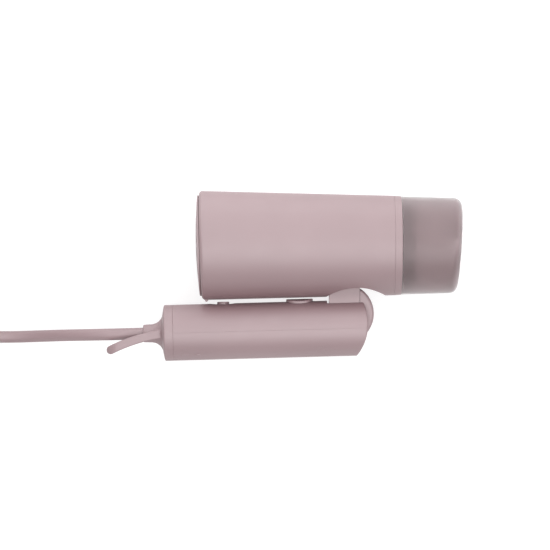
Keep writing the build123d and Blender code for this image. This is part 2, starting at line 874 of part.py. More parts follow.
# The channels that the hinge pin drops into, one in each ear.
with BuildPart(handle_plane) as pin_channel:
    pin_slot_half = pin_radius + running_gap
    with Locations((0, handle_drop, 0)):
        Cylinder(pin_slot_half, 2 * pin_half_length + 0.4)
    with Locations((0, handle_drop / 2 - 1, 0)):
        Box(2 * pin_slot_half, handle_drop + 2, 2 * pin_half_length + 0.4)

# Shank holes through both shells, and the wells in the front shell that take the heads.
with BuildPart(handle_plane) as screw_holes:
    with Locations(*screw_places((screw_tip_v + 0.5 - screw_head_depth - 1) / 2)):
        Cylinder(screw_radius + 0.02, screw_tip_v + 0.5 + screw_head_depth + 1, rotation=(90, 0, 0))

with BuildPart(handle_plane) as screw_wells:
    with Locations(*screw_places(-screw_head_depth - 10)):
        Cylinder(screw_head_radius + fit_gap, 20, rotation=(90, 0, 0))

# Shallow dish round the push button, and the button's hole.
with BuildPart(handle_plane) as button_seat:
    dish_radius = ((dish_length / 2) ** 2 + dish_depth**2) / (2 * dish_depth)
    with Locations((button_u, handle_radius - dish_depth + dish_radius, 0)):
        Sphere(dish_radius)
    with Locations((button_u, handle_radius - 4, 0)):
        Cylinder(button_radius + 0.12, 12, rotation=(90, 0, 0))

# Room in the front shell for the hinge's nose as the handle folds.
with BuildPart(handle_plane) as nose_well:
    with Locations((0, handle_drop, 0)):
        Cylinder(nose_radius + moving_gap, 2 * slot_half_width)

# What stands up inside the front shell: pin saddles, board posts, clamp posts and the cord's rest.
with BuildPart(handle_plane) as front_posts:
    saddle_top = handle_drop - pin_radius - 0.02
    saddle_low_w = slot_half_width + running_gap
    saddle_high_w = pin_half_length + 0.1
    for side in (-1, 1):
        with Locations((0, (saddle_top - 1) / 2, side * (saddle_low_w + saddle_high_w) / 2)):
            Box(2 * pin_radius, saddle_top + 1, saddle_high_w - saddle_low_w)
        for post_u in (board_rear_u + 6, board_front_u - 6):
            post_base = -sqrt(handle_bore**2 - post_half_spacing**2) - 1
            post_top = board_top - board_thickness
            with Locations((post_u, (post_base + post_top) / 2, side * post_half_spacing)):
                Cylinder(post_radius, post_top - post_base, rotation=(90, 0, 0))
        clamp_post_base = -sqrt(handle_bore**2 - clamp_screw_half_spacing**2) - 1
        with Locations((clamp_u, clamp_post_base / 2, side * clamp_screw_half_spacing)):
            Cylinder(2.9, -clamp_post_base, rotation=(90, 0, 0))
    with Locations((clamp_u, -handle_bore / 2 - 0.5, 0)):
        Box(clamp_length, handle_bore + 1 - 2, 6)
    with Locations((clamp_u, 0, 0)):
        Cylinder(cord_radius + running_gap, 3 * clamp_length, rotation=(0, 90, 0), mode=Mode.SUBTRACT)
    for side in (-1, 1):
        with Locations((clamp_u, 0, side * clamp_screw_half_spacing)):
            Cylinder(clamp_screw_radius + 0.02, 2 * clamp_height + 1, rotation=(90, 0, 0), mode=Mode.SUBTRACT)

with BuildPart() as rear_shell:
    add(handle_blank.part)
    split(bisect_by=parting_plane, keep=Keep.TOP)
    long_edges = rear_shell.edges().filter_by(GeomType.LINE).filter_by(lambda edge: edge.length > 50)
    chamfer(long_edges, part_line_chamfer)
    add(handle_room.part, mode=Mode.SUBTRACT)
    add(handle_box(slot_rear_u, 30, -1, 30, slot_half_width), mode=Mode.SUBTRACT)
    # Pin bores, open at the parting line so that the pin drops in.
    add(pin_channel.part, mode=Mode.SUBTRACT)
    add(screw_holes.part, mode=Mode.SUBTRACT)
    # Opening for the slide switch's stem, dish and hole for the push button.
    stem_half = switch_stem / 2 + moving_gap
    opening_front_u = switch_u + stem_half + switch_travel
    opening = handle_box(switch_u - stem_half, opening_front_u, handle_bore - 5, handle_radius + 3, stem_half)
    add(opening, mode=Mode.SUBTRACT)
    add(button_seat.part, mode=Mode.SUBTRACT)
save(rear_shell.part, "handle_rear_shell")

with BuildPart() as front_shell:
    add(handle_blank.part)
    split(bisect_by=parting_plane, keep=Keep.BOTTOM)
    long_edges = front_shell.edges().filter_by(GeomType.LINE).filter_by(lambda edge: edge.length > 50)
    chamfer(long_edges, part_line_chamfer)
    add(handle_room.part, mode=Mode.SUBTRACT)
    add(nose_well.part, mode=Mode.SUBTRACT)
    add(front_posts.part)
    add(screw_holes.part, mode=Mode.SUBTRACT)
    add(screw_wells.part, mode=Mode.SUBTRACT)
save(front_shell.part, "handle_front_shell")

with BuildPart(handle_plane) as hinge_pin:
    with Locations((0, handle_drop, 0)):
        Cylinder(pin_radius, 2 * pin_half_length)
    chamfer(hinge_pin.edges().filter_by(GeomType.CIRCLE), 0.4)
save(hinge_pin.part, "hinge_pin")

with BuildPart(handle_plane) as hinge_washers:
    washer_w = slot_half_width - running_gap - washer_thickness / 2
    with Locations((0, handle_drop, -washer_w), (0, handle_drop, washer_w)):
        Cylinder(washer_radius, washer_thickness)
        Cylinder(pin_radius + running_gap, washer_thickness, mode=Mode.SUBTRACT)
save(hinge_washers.part, "hinge_washers")

with BuildPart(handle_plane) as shell_screws:
    with Locations(*screw_places(-screw_head_depth - screw_head_height / 2)):
        Cylinder(screw_head_radius, screw_head_height, rotation=(90, 0, 0))
    with Locations(*screw_places(-screw_head_depth / 2 + screw_tip_v / 2)):
        Cylinder(screw_radius, screw_head_depth + screw_tip_v, rotation=(90, 0, 0))
save(shell_screws.part, "shell_screws")

# Plugs that close the wells, flush with the handle.
with BuildPart(handle_plane) as cap_blanks:
    cap_base_v = -screw_head_depth - screw_head_height - fit_gap
    with Locations(*screw_places(cap_base_v - handle_radius / 2)):
        Cylinder(screw_head_radius + running_gap, handle_radius, rotation=(90, 0, 0))

with BuildPart() as screw_caps:
    add(cap_blanks.part)
    add(tube(tail_seam_u, 0, handle_radius, 2 * handle_radius, handle_plane, handle_axis), mode=Mode.SUBTRACT)
save(screw_caps.part, "screw_caps")

# ---------------------------------------------------------------- controls

with BuildPart(handle_plane) as control_board:
    with Locations(((board_rear_u + board_front_u) / 2, board_top - board_thickness / 2, 0)):
        Box(board_front_u - board_rear_u, board_thickness, board_width)
save(control_board.part, "control_board")

with BuildPart(handle_plane) as switch_body:
    with Locations((switch_u - 2, (board_top + switch_body_top) / 2, 0)):
        Box(16.0, switch_body_top - board_top, 10.0)
    chamfer(switch_body.edges().filter_by(Axis.Z).group_by(Axis.Y)[-1], 0.6)
save(switch_body.part, "switch_body")

with BuildPart(handle_plane) as tact_switch:
    with Locations((button_u, (board_top + tact_body_top) / 2, 0)):
        Box(tact_size, tact_body_top - board_top, tact_size)
    plunger_top = button_bottom - button_travel - moving_gap
    with Locations((button_u, (tact_body_top + plunger_top) / 2, 0)):
        Cylinder(1.5, plunger_top - tact_body_top, rotation=(90, 0, 0))
save(tact_switch.part, "tact_switch")

with BuildPart() as slide_switch:
    skin_radius = handle_radius + fit_gap
    switch_plane = Plane(
        origin=handle_plane.from_local_coords((switch_u, handle_radius - 6, 0)),
        x_dir=handle_plane.x_dir,
        z_dir=handle_plane.y_dir,
    )
    with BuildSketch(switch_plane):
        SlotOverall(switch_length, switch_width)
    extrude(amount=12)
    add(along_handle(switch_u - 20, switch_u + 20, handle_radius + switch_height), mode=Mode.INTERSECT)
    cap_rim = slide_switch.edges().filter_by(lambda edge: handle_radius_of(edge.center()) > handle_radius + 1)
    fillet(cap_rim, 0.6)
    add(along_handle(switch_u - 20, switch_u + 20, skin_radius), mode=Mode.SUBTRACT)
    stem_low = switch_body_top + moving_gap
    stem_rear_u = switch_u - switch_stem / 2
    stem_front_u = switch_u + switch_stem / 2
    add(handle_box(stem_rear_u, stem_front_u, stem_low, skin_radius + 0.3, switch_stem / 2))
save(slide_switch.part, "slide_switch")

with BuildPart(handle_plane) as push_button:
    with Locations((button_u, (button_bottom + button_top) / 2, 0)):
        Cylinder(button_radius, button_top - button_bottom, rotation=(90, 0, 0))
    fillet(push_button.edges().filter_by(GeomType.CIRCLE).group_by(Axis.Y)[-1], 0.5)
    with Locations((button_u, button_bottom + button_flange / 2, 0)):
        Cylinder(button_radius + 0.9, button_flange, rotation=(90, 0, 0))
save(push_button.part, "push_button")

# ---------------------------------------------------------------- tail of the handle

tail_cap_blank = turned(
    [
        (tail_seam_u + cap_spigot_length, handle_bore - fit_gap - cap_spigot_wall),
        (tail_seam_u + cap_spigot_length, handle_bore - fit_gap),
        (tail_seam_u, handle_bore - fit_gap),
        (tail_seam_u, handle_radius - 0.15),
        (tail_seam_u - 0.15, handle_radius),
        (tail_corner_u, handle_radius),
        (tail_corner_u - 0.5, handle_radius - 0.25),
        (tail_corner_u - 0.8, handle_radius - 1.0),
        (tail_face_u, relief_flare_radius + 0.4),
        (tail_face_u, relief_neck_radius),
        (relief_neck_u, relief_neck_radius),
        (relief_neck_u, handle_bore - fit_gap - cap_spigot_wall),
    ],
    handle_plane,
    handle_axis,
)


def beside(route, distance):
    """Points a distance to the left of a route."""
    points = []
    last = len(route) - 1
    for index, (u, v) in enumerate(route):
        before = route[max(index - 1, 0)]
        after = route[min(index + 1, last)]
        run_u = after[0] - before[0]
        run_v = after[1] - before[1]
        run = sqrt(run_u**2 + run_v**2)
        points.append((u - run_v / run * distance, v + run_u / run * distance))
    return points


def loop_band(height, half_width, low_w):
    """The loop's bent band in side view, from low_w to half_width on both sides of the middle."""
    lower = beside(loop_route, height / 2)
    upper = beside(loop_route, -height / 2)
    run_u = loop_route[-1][0] - loop_route[-2][0]
    run_v = loop_route[-1][1] - loop_route[-2][1]
    run = sqrt(run_u**2 + run_v**2)
    tip_u = loop_route[-1][0] + run_u / run * height / 2
    tip_v = loop_route[-1][1] + run_v / run * height / 2
    with BuildPart() as band:
        with BuildSketch(handle_plane):
            with BuildLine():
                Spline(*lower)
                ThreePointArc(lower[-1], (tip_u, tip_v), upper[-1])
                Spline(*reversed(upper))
                Line(upper[0], lower[0])
            make_face()
        extrude(amount=half_width, both=True)
        if low_w > 0:
            beyond_tip_u = loop_outer_tip_u - height
            middle = handle_box(beyond_tip_u, loop_root_u, -2 * handle_radius, handle_radius, low_w)
            add(middle, mode=Mode.SUBTRACT)
    return band.part


with BuildPart() as hanging_loop:
    add(loop_band(loop_height, loop_half_width, 0))
    with BuildSketch(plan_plane):
        with Locations(((loop_outer_tip_u + loop_root_u) / 2, 0)):
            SlotOverall(loop_root_u - loop_outer_tip_u, 2 * loop_half_width)
        with Locations((loop_root_u, 0)):
            Rectangle(loop_blank_run, 2 * loop_half_width)
        with Locations(((loop_inner_tip_u + loop_root_u) / 2, 0)):
            SlotOverall(loop_root_u - loop_inner_tip_u, 2 * loop_inner_half, mode=Mode.SUBTRACT)
        with Locations((loop_root_u, 0)):
            Rectangle(loop_blank_run, 2 * loop_inner_half, mode=Mode.SUBTRACT)
    extrude(amount=2 * handle_radius, both=True, mode=Mode.INTERSECT)
    lug_u, lug_v = loop_route[0]
    lug_reach = loop_half_width + loop_lug
    for lug_low, lug_high in ((-lug_reach, 0.3 - loop_half_width), (loop_half_width - 0.3, lug_reach)):
        lug = Box(loop_lug_length, loop_height, lug_high - lug_low, mode=Mode.PRIVATE)
        add(handle_plane * Pos(lug_u, lug_v, (lug_low + lug_high) / 2) * lug)
save(hanging_loop.part, "hanging_loop")

# Seats for the loop's legs: the same band, a little fatter, without its middle.
leg_seat = loop_band(loop_height + 2 * fit_gap, loop_half_width + fit_gap, loop_inner_half - fit_gap)

with BuildPart() as tail_cap:
    add(tail_cap_blank)
    add(leg_seat, mode=Mode.SUBTRACT)
save(tail_cap.part, "tail_cap")

with BuildPart() as strain_relief:
    with BuildSketch(handle_plane):
        with BuildLine():
            Polyline(
                (relief_end_u, 0),
                (relief_flange_u, 0),
                (relief_flange_u, relief_flange_radius),
                (relief_neck_u, relief_flange_radius),
                (relief_neck_u, relief_neck_radius),
                (tail_face_u, relief_neck_radius),
                (tail_face_u, relief_flare_radius),
            )
            ThreePointArc(
                (tail_face_u, relief_flare_radius),
                relief_flare_mid,
                (relief_step_u, relief_step_radius),
            )
            Polyline(
                (relief_step_u, relief_step_radius),
                (relief_end_u, relief_end_radius),
                (relief_end_u, 0),
            )
        make_face()
    revolve(axis=handle_axis)
    add(leg_seat, mode=Mode.SUBTRACT)
save(strain_relief.part, "strain_relief")

cord_end = tube(relief_flange_u, cord_end_u, 0, cord_radius, handle_plane, handle_axis)
save(cord_end, "cord_end")

with BuildPart(handle_plane) as cord_clamp:
    with Locations((clamp_u, clamp_height / 2, 0)):
        Box(clamp_length, clamp_height, clamp_width)
    with Locations((clamp_u, 0, 0)):
        Cylinder(cord_radius + running_gap, 2 * clamp_length, rotation=(0, 90, 0), mode=Mode.SUBTRACT)
    with Locations((clamp_u, clamp_height / 2, -clamp_screw_half_spacing),
                   (clamp_u, clamp_height / 2, clamp_screw_half_spacing)):
        Cylinder(clamp_screw_radius + running_gap, 2 * clamp_height, rotation=(90, 0, 0), mode=Mode.SUBTRACT)
save(cord_clamp.part, "cord_clamp")

with BuildPart(handle_plane) as clamp_screws:
    for side in (-1, 1):
        with Locations((clamp_u, clamp_height + 0.7, side * clamp_screw_half_spacing)):
            Cylinder(2 * clamp_screw_radius, 1.4, rotation=(90, 0, 0))
        with Locations((clamp_u, 0, side * clamp_screw_half_spacing)):
            Cylinder(clamp_screw_radius, 2 * clamp_height, rotation=(90, 0, 0))
save(clamp_screws.part, "clamp_screws")

with BuildPart(handle_plane) as supply_wires:
    wire_v = board_top + wire_radius + running_gap
    for side in (-1, 1):
        with Locations((cord_end_u + wire_length / 2, wire_v, side * 1.3)):
            Cylinder(wire_radius, wire_length, rotation=(0, 90, 0))
save(supply_wires.part, "supply_wires")

# ---------------------------------------------------------------- cord, coil and plug

cord_exit = handle_plane.from_local_coords((relief_end_u, 0, 0))
entry_z = coil_bottom + cord_radius
outer_turn_radius = inner_turn_radius + (coil_turns_across - 1) * turn_pitch
coil_y = coil_entry_y + outer_turn_radius
coil_outer_radius = outer_turn_radius + cord_radius + turn_ease
coil_inner_radius = inner_turn_radius - crossing_depth - cord_radius
cord_route = [
    cord_exit,
    cord_exit - handle_plane.x_dir * first_run,
    Vector(-167.5, -54.9, 23.0),
    Vector(-186.0, -55.7, 9.5),
    Vector(-202.5, coil_entry_y, entry_z),
    Vector(coil_x + stub_length, coil_entry_y, entry_z),
]


def bend_radii(route):
    """The largest arc that each corner's two runs leave room for."""
    radii = []
    for before, corner, after in zip(route, route[1:], route[2:]):
        first = corner - before
        second = after - corner
        half_turn = radians(first.get_angle(second)) / 2
        radii.append(0.45 * min(first.length, second.length) / tan(half_turn))
    return radii


cord_radii = bend_radii(cord_route)
print("cord bend radii:", [round(radius, 1) for radius in cord_radii])
with BuildPart() as cord_lead:
    with BuildLine():
        FilletPolyline(*cord_route, radius=cord_radii)
    with BuildSketch(Plane(origin=cord_exit, z_dir=-handle_plane.x_dir)):
        Circle(cord_radius)
    sweep()
save(cord_lead.part, "cord_lead")

# The coil's outer shape: the flat wound ring, the stub where the lead runs in, and the last
# quarter turn that climbs over the ring to the plug.
coil_height = coil_layers * 2 * cord_radius
coil_top = coil_bottom + coil_height
plug_height = coil_top + plug_thickness / 2
riser_center_x = coil_x + outer_turn_radius - riser_radius
boot_end_x = riser_center_x - 2.0
plug_y = coil_y - riser_radius
with BuildPart() as cord_coil:
    with BuildSketch(Plane.XY.offset(coil_bottom)):
        with Locations((coil_x, coil_y)):
            Circle(coil_outer_radius)
            Circle(coil_inner_radius, mode=Mode.SUBTRACT)
    extrude(amount=coil_height)
    with BuildSketch(Plane.XY.offset(coil_bottom)):
        with Locations((coil_x + (stub_length + stub_start) / 2, coil_entry_y)):
            Rectangle(stub_length - stub_start, 2 * cord_radius)
    extrude(amount=2 * cord_radius)
    with BuildSketch(Plane.XY.offset(coil_top)):
        with Locations((riser_center_x, coil_y)):
            Circle(riser_radius + cord_radius)
            Circle(riser_radius - cord_radius, mode=Mode.SUBTRACT)
        with Locations((riser_center_x + 30 - 2.0, coil_y - 30)):
            Rectangle(60, 60, mode=Mode.INTERSECT)
    extrude(amount=plug_height - coil_top + cord_radius)
save(cord_coil.part, "cord_coil")

with BuildPart() as coil_tie:
    tie_plane = Plane(
        origin=(coil_x, coil_y, 0),
        x_dir=(cos(radians(tie_angle)), sin(radians(tie_angle)), 0),
        z_dir=(sin(radians(tie_angle)), -cos(radians(tie_angle)), 0),
    )
    strap = tie_wall + tie_slack
    with BuildSketch(tie_plane):
        with Locations(((coil_inner_radius + coil_outer_radius) / 2, coil_bottom + coil_height / 2)):
            Rectangle(coil_outer_radius - coil_inner_radius + 2 * strap, coil_height + 2 * strap)
            Rectangle(
                coil_outer_radius - coil_inner_radius + 2 * tie_slack,
                coil_height + 2 * tie_slack,
                mode=Mode.SUBTRACT,
            )
    revolve(axis=Axis((coil_x, coil_y, 0), (0, 0, 1)), revolution_arc=tie_arc)
save(coil_tie.part, "coil_tie")

boot_front_x = boot_end_x - boot_length
plug_face_x = boot_front_x - plug_length
plug_axis = Axis((boot_end_x, plug_y, plug_height), (1, 0, 0))
plug_plane = Plane(origin=(0, plug_y, plug_height), z_dir=(0, 0, 1))
with BuildPart() as plug_body:
    with BuildSketch(Plane(origin=(boot_front_x, plug_y, plug_height), x_dir=(0, 1, 0), z_dir=(-1, 0, 0))):
        RectangleRounded(plug_width, plug_thickness, plug_corner)
    extrude(amount=plug_length)
    fillet(plug_body.faces().sort_by(Axis.X)[-1].edges(), 3.5)
    fillet(plug_body.faces().sort_by(Axis.X)[0].edges(), 1.2)
    with BuildSketch(plug_plane):
        with BuildLine():
            Polyline(
                (boot_end_x, 0),
                (boot_end_x, boot_tip_radius),
                (boot_front_x - 1, boot_radius),
                (boot_front_x - 1, 0),
                close=True,
            )
        make_face()
    revolve(axis=plug_axis)
save(plug_body.part, "plug_body")

with BuildPart() as plug_pins:
    with BuildSketch(Plane(origin=(plug_face_x, plug_y, plug_height), x_dir=(0, 1, 0), z_dir=(-1, 0, 0))):
        with Locations((-plug_pin_spacing / 2, 0), (plug_pin_spacing / 2, 0)):
            Circle(plug_pin_radius)
    extrude(amount=plug_pin_length)
    fillet(plug_pins.faces().sort_by(Axis.X)[:2].edges(), 1.2)
save(plug_pins.part, "plug_pins")
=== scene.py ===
"""The looks of a folding hair dryer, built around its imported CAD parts. Sizes are in metres."""

import json
from math import cos, pi, radians, sin, tau

import bmesh
import bpy
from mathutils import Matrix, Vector


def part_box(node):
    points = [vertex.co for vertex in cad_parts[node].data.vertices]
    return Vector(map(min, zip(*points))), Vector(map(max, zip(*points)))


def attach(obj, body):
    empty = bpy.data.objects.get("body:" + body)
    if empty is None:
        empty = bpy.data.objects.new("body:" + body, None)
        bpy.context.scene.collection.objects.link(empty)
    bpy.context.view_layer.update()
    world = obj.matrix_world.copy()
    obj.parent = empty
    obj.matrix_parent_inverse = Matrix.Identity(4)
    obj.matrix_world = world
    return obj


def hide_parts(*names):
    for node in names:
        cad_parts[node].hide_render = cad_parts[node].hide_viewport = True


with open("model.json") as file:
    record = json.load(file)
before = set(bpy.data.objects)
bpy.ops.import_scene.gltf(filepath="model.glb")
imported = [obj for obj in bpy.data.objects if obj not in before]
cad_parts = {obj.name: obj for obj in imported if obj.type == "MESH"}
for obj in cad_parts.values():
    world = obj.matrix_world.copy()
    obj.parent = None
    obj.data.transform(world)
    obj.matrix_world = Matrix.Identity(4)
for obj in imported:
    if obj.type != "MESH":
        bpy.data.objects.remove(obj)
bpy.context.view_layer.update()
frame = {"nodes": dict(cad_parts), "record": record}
nodes = frame["nodes"]

# ---------------------------------------------------------------- sizes
# The cord. Its route is the CAD model's own, and its coil is wound in two layers.
cord_diameter = 0.0072
cord_exit = (-0.122112, -0.053729, 0.0333)
cord_route = [
    (-0.146103, -0.054382, 0.0333),
    (-0.1675, -0.0549, 0.0230),
    (-0.1860, -0.0557, 0.0095),
    (-0.2025, -0.0564, 0.0042),
    (-0.2165, -0.0564, 0.0042),
]
coil_turns = 5.75
points_per_turn = 24
inner_turn_radius = 0.0330
turn_pitch = 0.0073
outer_turn_radius = inner_turn_radius + 2 * turn_pitch
crossing_span = 90.0      # degrees of each turn in which it steps over to the next one
bulge_span = 240.0        # degrees in which the innermost turn gives way as it climbs
bulge_depth = 0.0031
climb_lead = 45.0         # degrees of the last turn in which the cord starts up to its plug
climb_radius = 0.0360
climb_steps = 6
plug_overlap = 0.0040     # the cord ends this far inside the plug

# The mesh of the rear cover and the heater's windings.
mesh_pitch = 0.0015
mesh_wire_radius = 0.00011
heater_ring_count = 6
heater_winding_reach = 0.0008
heater_wire_radius = 0.00022
heater_turn_pitch = 0.0012
heater_turn_steps = 8

# The strap round the coil.
tie_width = 0.0085
tie_thickness = 0.0005
tie_overlap = 0.0120
tie_slack = 0.00005       # between the strap and the cord
tie_lap_inset = 0.0004    # the lapped end is narrower by this on each side
tie_corner_steps = 8
tie_rounding = 0.00015

# The strain relief with its loop.
relief_voxel = 0.00022
relief_rim = 0.0015       # next to the tail cap, where the strain relief keeps its edge
relief_smoothings = 24
relief_triangle_share = 0.3

# The light. The floor glows more beyond the barrel, which lightens the barrel's far edge.
floor_glow = 0.75
floor_glow_beyond = 1.8
floor_glow_from_y = 0.0
floor_glow_to_y = 0.25
surround_dark_y = -0.9
surround_light_y = 0.2
surround_dark = 0.30
surround_light = 0.66


# ---------------------------------------------------------------- camera
def make_camera():
    """Looks straight down from well above, as a long lens does."""
    camera = bpy.data.objects.new("camera", bpy.data.cameras.new("camera"))
    camera.data.lens = 200.0
    camera.data.sensor_width = 36.0
    camera.data.clip_start = 0.1
    camera.data.clip_end = 20.0
    camera.location = (-0.0418, -0.0180, 1.897)
    camera.rotation_euler = (0, 0, 0)
    bpy.context.scene.collection.objects.link(camera)
    bpy.context.scene.camera = camera


make_camera()


# ---------------------------------------------------------------- cord
def eased(share):
    """Goes smoothly from 0 to 1."""
    share = max(0.0, min(1.0, share))
    return share * share * (3 - 2 * share)


def coil_centre():
    """The middle of the coil in plan."""
    low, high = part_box("cord_coil")
    return low.x + (high.y - low.y) / 2, cord_route[-1][1] + outer_turn_radius


def coil_points():
    """The turns of the coil, one layer inwards and one back outwards, then the climb to the plug."""
    centre_x, centre_y = coil_centre()
    floor_z = cord_route[-1][2]
    plug_low, plug_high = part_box("plug_body")
    plug_z = (plug_low.z + plug_high.z) / 2
    climb = plug_z - floor_z - cord_diameter
    steps_inward = [-1, -1, 0, 1, 1]
    points = []
    for index in range(int(coil_turns * points_per_turn) + 1):
        turn = index / points_per_turn
        radius = outer_turn_radius
        z = floor_z
        for number, step in enumerate(steps_inward):
            crossed = eased((turn - number - 1) * 360 / crossing_span + 1)
            radius += step * turn_pitch * crossed
            if step == 0:
                z += cord_diameter * crossed
        bulge = (turn - 3) * 360 / bulge_span + 0.5 + crossing_span / 2 / bulge_span
        if 0 < bulge < 1:
            radius -= bulge_depth * sin(pi * bulge) ** 2
        left = (coil_turns - turn) * 360
        z += climb * eased((climb_lead - left) / (climb_lead + 90))
        angle = -tau / 4 - tau * turn
        points.append((centre_x + radius * cos(angle), centre_y + radius * sin(angle), z))
    climb_x = centre_x + outer_turn_radius - climb_radius
    for step in range(1, climb_steps + 1):
        angle = 90 * step / climb_steps
        z = floor_z + cord_diameter + climb * eased((climb_lead + angle) / (climb_lead + 90))
        x = climb_x + climb_radius * cos(radians(angle))
        y = centre_y - climb_radius * sin(radians(angle))
        points.append((x, y, z))
    last = points[-1]
    points.append((plug_high.x - plug_overlap, last[1], last[2]))
    return points


def make_cord(material, tie):
    """The lead as one smooth curve, from the handle to the plug."""
    points = [cord_exit, *cord_route, *coil_points()]
    curve = bpy.data.curves.new("cord", "CURVE")
    curve.dimensions = "3D"
    spline = curve.splines.new("NURBS")
    spline.points.add(len(points) - 1)
    for point, place in zip(spline.points, points):
        point.co = (*place, 1)
    spline.order_u = 3
    spline.use_endpoint_u = True
    curve.resolution_u = 6
    curve.bevel_depth = cord_diameter / 2
    curve.bevel_resolution = 5
    curve.use_fill_caps = True
    cord = bpy.data.objects.new("mains_cord", curve)
    bpy.context.scene.collection.objects.link(cord)
    cord.data.materials.append(material)
    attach(cord, "handle")
    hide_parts("cord_lead", "cord_coil")


# ---------------------------------------------------------------- detail pieces
def make_wires(name, routes, radius, closed, body, stands_for, material):
    """Thin round wires as one piece, each along its own row of points."""
    curve = bpy.data.curves.new(name, "CURVE")
    curve.dimensions = "3D"
    for route in routes:
        spline = curve.splines.new("POLY")
        spline.points.add(len(route) - 1)
        for point, place in zip(spline.points, route):
            point.co = (*place, 1)
        spline.use_cyclic_u = closed
    curve.bevel_depth = radius
    curve.bevel_resolution = 1
    curve.use_fill_caps = not closed
    wires = bpy.data.objects.new(name, curve)
    bpy.context.scene.collection.objects.link(wires)
    wires.data.materials.append(material)
    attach(wires, body)
    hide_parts(stands_for)


def make_filter(material):
    """A plain-woven disc of wire inside the rear cover, square to the way that the cover pulls off."""
    low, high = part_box("filter_mesh")
    middle = (low + high) / 2
    radius = (high.z - low.z) / 2 - mesh_wire_radius
    joints = frame["record"]["behaviour"]["joints"]
    pull = next(joint for joint in joints if joint["name"] == "cover_pull")
    outward = Vector(pull["axis"]).normalized()
    upward = Vector((0, 0, 1))
    across = outward.cross(upward)
    rows = int(radius / mesh_pitch)
    routes = []
    for along, sideways, side in ((across, upward, 1), (upward, across, -1)):
        for row in range(-rows, rows + 1):
            offset = row * mesh_pitch
            reach = int((radius * radius - offset * offset) ** 0.5 / mesh_pitch * 2)
            route = []
            for step in range(-reach, reach + 1):
                lift = side * mesh_wire_radius * cos(pi * (step / 2 + row))
                distance = step * mesh_pitch / 2
                route.append(middle + along * distance + sideways * offset + outward * lift)
            if len(route) > 1:
                routes.append(route)
    make_wires(
        "woven_filter", routes, mesh_wire_radius, False, "rear_cover", "filter_mesh", material
    )


def make_heater(material):
    """Rings of fine coiled wire round the mica."""
    low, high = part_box("heater_coils")
    ring_z = (low.z + high.z) / 2
    first_x = low.x + heater_winding_reach
    last_x = high.x - heater_winding_reach
    winding_radius = heater_winding_reach - heater_wire_radius
    ring_radius = (high.z - low.z) / 2 - heater_winding_reach
    turns = round(tau * ring_radius / heater_turn_pitch)
    routes = []
    for ring in range(heater_ring_count):
        ring_x = first_x + ring * (last_x - first_x) / (heater_ring_count - 1)
        route = []
        for step in range(turns * heater_turn_steps):
            twist = tau * step / heater_turn_steps
            around = twist / turns
            distance = ring_radius + winding_radius * cos(twist)
            x = ring_x + winding_radius * sin(twist)
            route.append((x, distance * cos(around), ring_z + distance * sin(around)))
        routes.append(route)
    make_wires(
        "heater_windings", routes, heater_wire_radius, True, "barrel", "heater_coils", material
    )


def make_relief(material):
    """The strain relief and the hanging loop as one soft moulding, rounded where they run together."""
    shape = bmesh.new()
    for name in ("strain_relief", "hanging_loop"):
        shape.from_mesh(nodes[name].data)
    bmesh.ops.remove_doubles(shape, verts=shape.verts, dist=0.000002)
    mesh = bpy.data.meshes.new("relief_blank")
    shape.to_mesh(mesh)
    shape.free()
    blank = bpy.data.objects.new("relief_blank", mesh)
    bpy.context.scene.collection.objects.link(blank)
    remesh = blank.modifiers.new("joined", "REMESH")
    remesh.mode = "VOXEL"
    remesh.voxel_size = relief_voxel
    view = bpy.context.evaluated_depsgraph_get()
    joined = bpy.data.meshes.new_from_object(blank.evaluated_get(view))
    bpy.data.objects.remove(blank)
    shape = bmesh.new()
    shape.from_mesh(joined)
    rim_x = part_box("tail_cap")[0].x - relief_rim
    soft = [vert for vert in shape.verts if vert.co.x < rim_x]
    for _ in range(relief_smoothings):
        bmesh.ops.smooth_vert(
            shape, verts=soft, factor=0.5, use_axis_x=True, use_axis_y=True, use_axis_z=True
        )
    for face in shape.faces:
        face.smooth = True
    shape.to_mesh(joined)
    shape.free()
    joined.materials.clear()
    joined.materials.append(material)
    relief = bpy.data.objects.new("relief_and_loop", joined)
    bpy.context.scene.collection.objects.link(relief)
    lighter = relief.modifiers.new("lighter", "DECIMATE")
    lighter.ratio = relief_triangle_share
    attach(relief, "handle")
    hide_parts("strain_relief", "hanging_loop")


def strap_outline(low_r, high_r, low_z, high_z, corner):
    """A rounded rectangle as (distance out, height) points, each with its outward direction."""
    outline = []
    corners = (
        (high_r - corner, high_z - corner, 0),
        (low_r + corner, high_z - corner, 90),
        (low_r + corner, low_z + corner, 180),
        (high_r - corner, low_z + corner, 270),
    )
    for centre_r, centre_z, start in corners:
        for step in range(tie_corner_steps + 1):
            angle = radians(start + 90 * step / tie_corner_steps)
            out_r = cos(angle)
            out_z = sin(angle)
            outline.append((centre_r + corner * out_r, centre_z + corner * out_z, out_r, out_z))
    return outline


